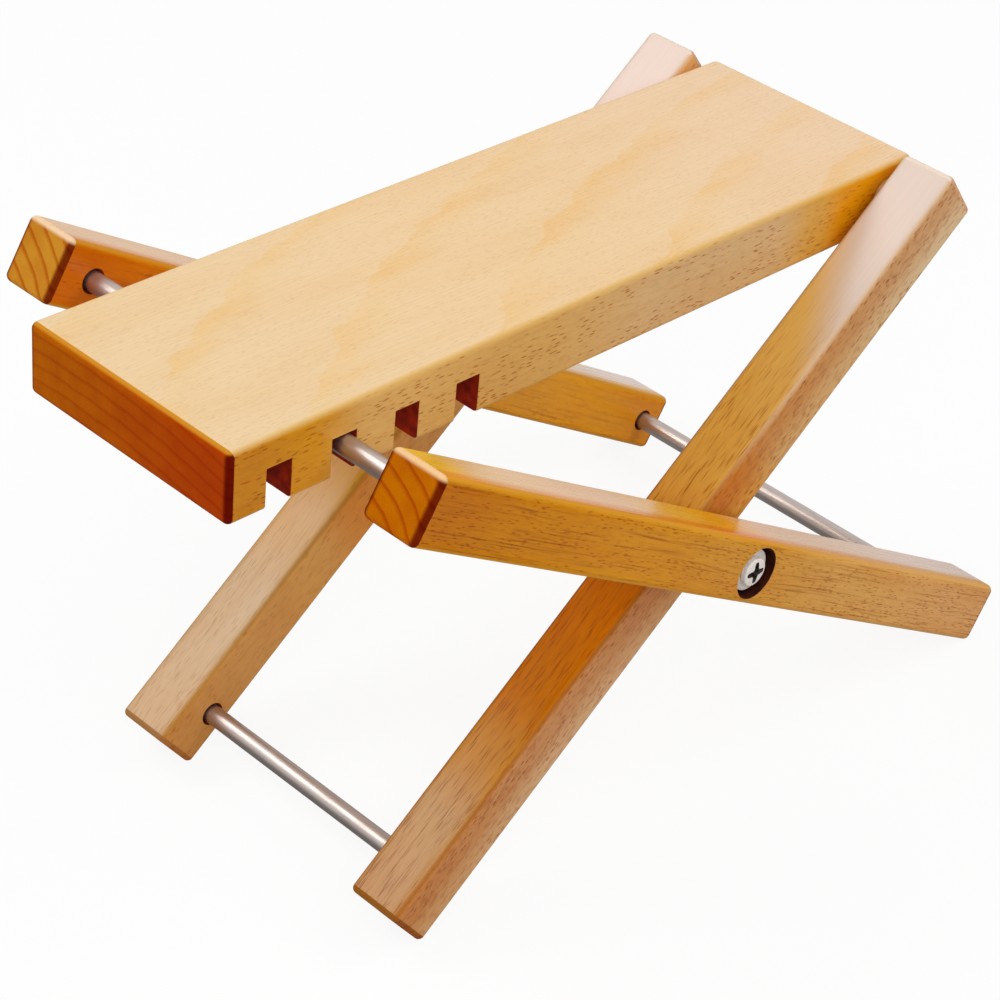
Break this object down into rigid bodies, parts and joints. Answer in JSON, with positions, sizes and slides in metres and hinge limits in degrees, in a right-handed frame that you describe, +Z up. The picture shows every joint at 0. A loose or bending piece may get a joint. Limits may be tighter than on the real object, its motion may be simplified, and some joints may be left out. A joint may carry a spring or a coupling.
{
  "type": "folding guitar footrest",
  "caption": "Folding wooden guitar footrest: a footboard on a scissor stand of square legs joined by steel rods, its height set by which notch under the board drops over the support rod.",
  "frame": {"origin": "middle of the footprint, on the floor that the leg ends stand on", "axes": "+X along the board towards its hinge, +Y across the stand to the left, +Z up"},
  "size_m": [0.2902, 0.165, 0.1854],
  "materials": {
    "board_beech": "clear satin lacquer",
    "inner_leg_beech": "clear satin lacquer",
    "outer_leg_beech": "clear satin lacquer",
    "bright_steel": "drawn, bright",
    "zinc_plated_steel": "zinc plated, satin",
    "natural_nylon": "matte"
  },
  "bodies": {
    "inner_frame": {"inner_leg_right": "inner_leg_beech", "inner_leg_left": "inner_leg_beech", "inner_stretcher_rod": "bright_steel", "hinge_rod": "bright_steel", "pivot_screw_right": "zinc_plated_steel", "pivot_screw_left": "zinc_plated_steel", "head_washer_right": "zinc_plated_steel", "head_washer_left": "zinc_plated_steel", "threaded_insert_right": "zinc_plated_steel", "threaded_insert_left": "zinc_plated_steel", "leg_spacer_right": "natural_nylon", "leg_spacer_left": "natural_nylon", "hinge_washer_right": "natural_nylon", "hinge_washer_left": "natural_nylon"},
    "outer_frame": {"outer_leg_right": "outer_leg_beech", "outer_leg_left": "outer_leg_beech", "support_rod": "bright_steel", "outer_stretcher_rod": "bright_steel"},
    "board": {"footboard": "board_beech"}
  },
  "joints": [
    {"name": "board_hinge", "type": "hinge", "parent": "inner_frame", "child": "board", "pos_m": [0.11401, 0, 0.15866], "axis": [0, 1, 0], "range_deg": [0, 86]},
    {"name": "leg_pivot", "type": "hinge", "parent": "inner_frame", "child": "outer_frame", "pos_m": [0.01648, 0, 0.08961], "axis": [0, 1, 0], "range_deg": [-68.8, 0]}
  ],
  "couplings": [
    {"joint": "leg_pivot", "follows": "board_hinge", "ratio": -0.8}
  ]
}
